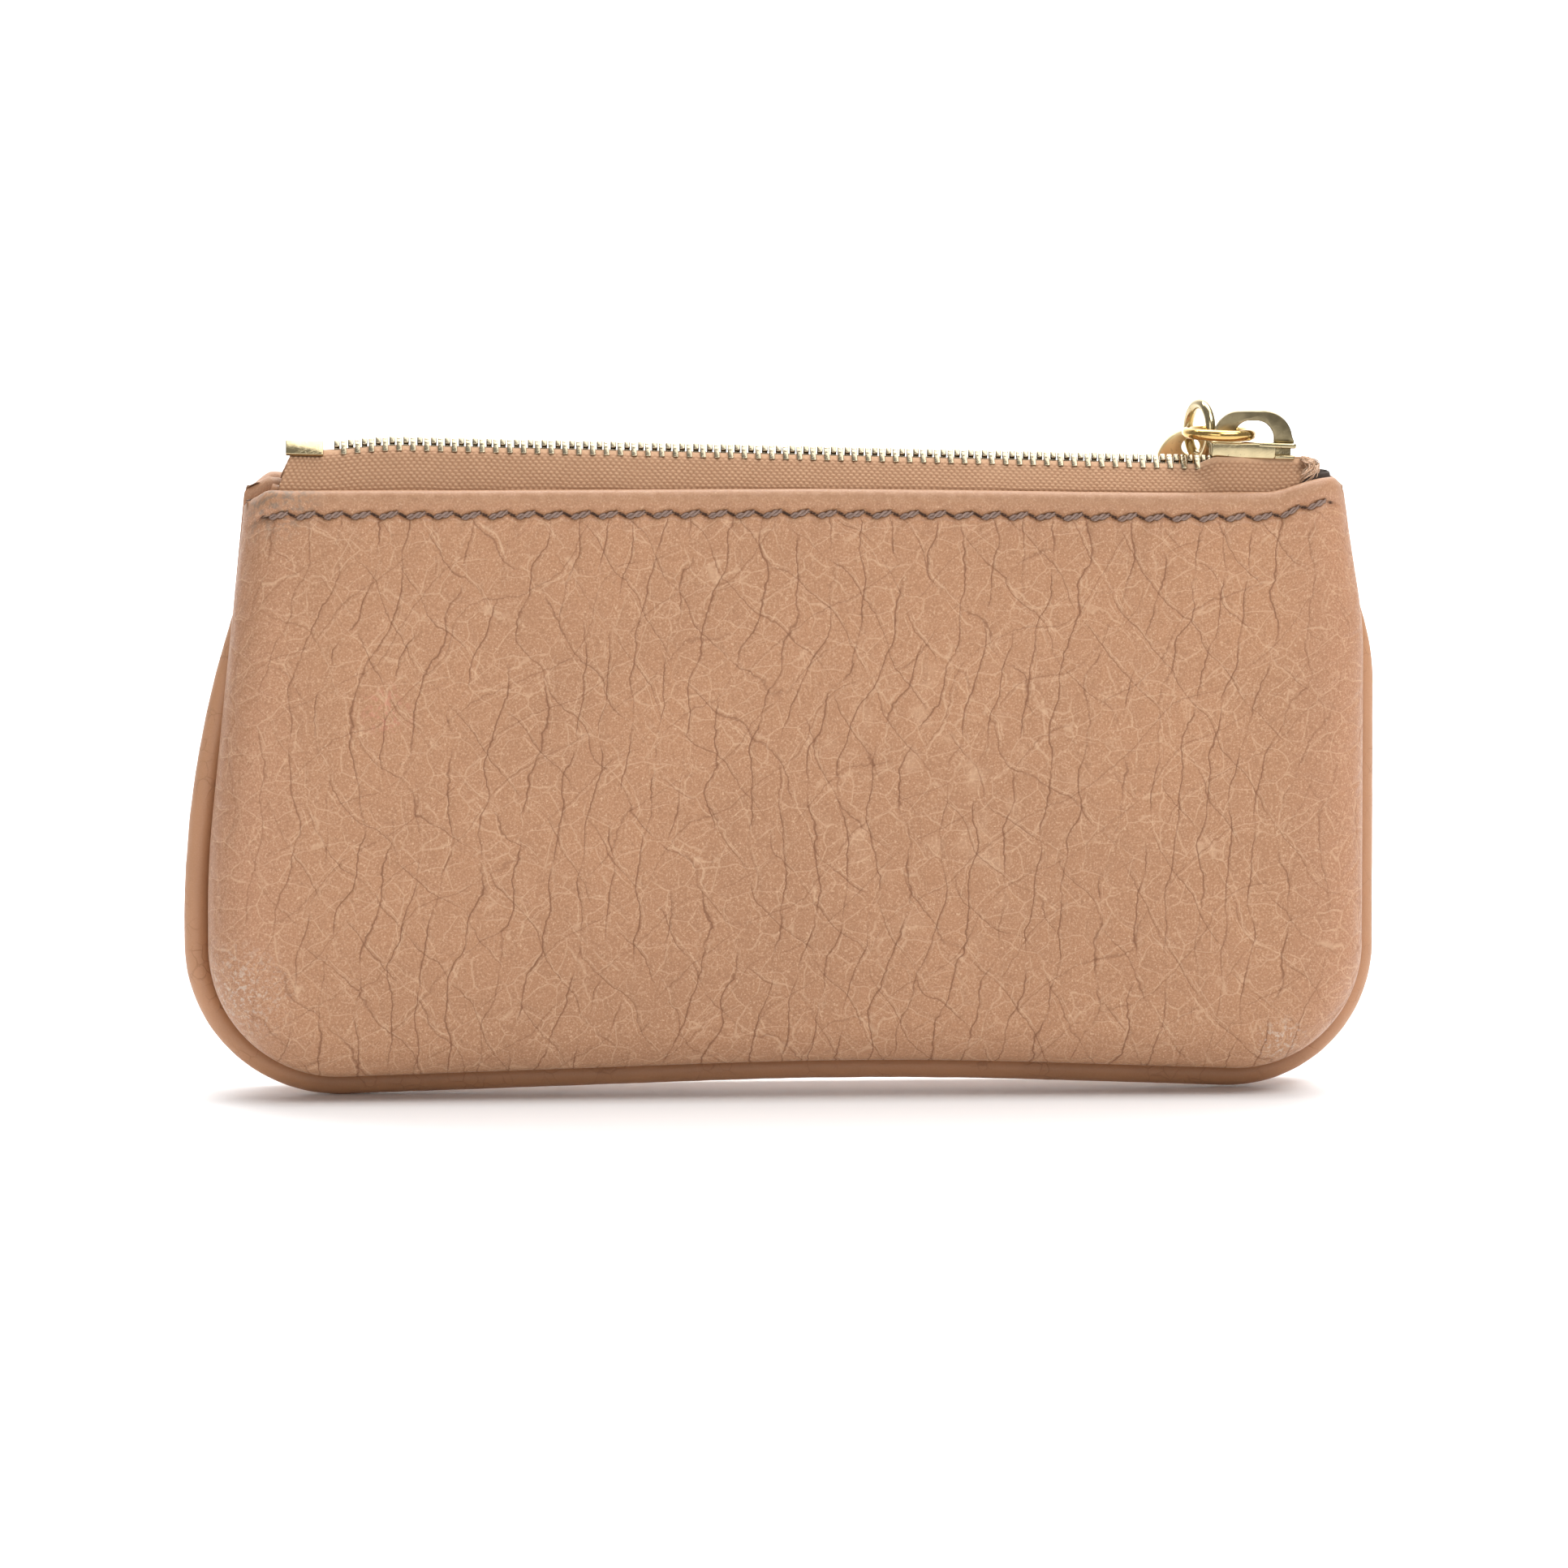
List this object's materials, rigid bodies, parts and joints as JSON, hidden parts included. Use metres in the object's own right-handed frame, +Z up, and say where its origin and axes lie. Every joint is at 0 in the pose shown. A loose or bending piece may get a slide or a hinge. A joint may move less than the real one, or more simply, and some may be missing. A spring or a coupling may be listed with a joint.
{
  "type": "zippered pouch",
  "caption": "Small flat leather pouch with a piped seam, a metal zip across the mouth and a ring-and-tag zip pull.",
  "frame": {"origin": "middle of the footprint, on the surface the pouch stands on", "axes": "+X along the zip towards its closed end, +Y from the front panel to the back panel, +Z up to the zip"},
  "size_m": [0.1499, 0.021, 0.0868],
  "materials": {
    "leather": "pebbled full grain leather, satin, tan",
    "piping_leather": "smooth leather over a round filler, satin, tan",
    "filler_cord": "undyed twisted cotton cord",
    "lining_cloth": "dark brown twill, matte",
    "tape_cloth": "tan woven zip tape, matte",
    "thread": "taupe twisted thread, slight sheen",
    "tooth_metal": "pale gold plating, worn bright",
    "gold_metal": "pale gold plating, polished, lightly scratched"
  },
  "bodies": {
    "back_half": {"back_panel": "leather", "back_lining": "lining_cloth", "back_zip_tape": "tape_cloth", "back_zip_teeth": "tooth_metal", "back_top_stop": "tooth_metal", "back_stitching": "thread", "bottom_stop": "gold_metal", "piping_cover": "piping_leather", "piping_cord": "filler_cord"},
    "front_half": {"front_panel": "leather", "front_lining": "lining_cloth", "front_zip_tape": "tape_cloth", "front_zip_teeth": "tooth_metal", "front_top_stop": "tooth_metal", "front_stitching": "thread"},
    "slider": {"slider_body": "gold_metal", "slider_crown": "gold_metal"},
    "link_ring": {"link_ring": "gold_metal"},
    "charm_ring": {"charm_ring": "gold_metal"},
    "round_tag": {"round_tag": "gold_metal"}
  },
  "joints": [
    {"name": "mouth_open", "type": "hinge", "parent": "back_half", "child": "front_half", "pos_m": [0, 0, 0.0031], "axis": [1, 0, 0], "range_deg": [0, 14], "deforming": ["front_zip_tape", "front_zip_teeth"]},
    {"name": "slider_slide", "type": "slide", "parent": "back_half", "child": "slider", "axis": [0.9996, 0, -0.0272], "range_m": [-0.11, 0], "deforming": ["back_zip_teeth"]},
    {"name": "link_ring_swing", "type": "hinge", "parent": "slider", "child": "link_ring", "pos_m": [0.0588, 0, 0.08318], "axis": [0, 1, 0], "range_deg": [0, 90]},
    {"name": "charm_ring_swing", "type": "hinge", "parent": "link_ring", "child": "charm_ring", "pos_m": [0.05356, 0.00373, 0.08332], "axis": [0.9452, 0.3256, -0.0257], "range_deg": [0, 45]},
    {"name": "tag_swing", "type": "hinge", "parent": "charm_ring", "child": "round_tag", "pos_m": [0.05214, 0.00771, 0.08115], "axis": [-0.1975, 0.6327, 0.7488], "range_deg": [-30, 30]}
  ],
  "couplings": [
    {"joint": "slider_slide", "follows": "mouth_open", "m_per_rad": -0.4501}
  ]
}
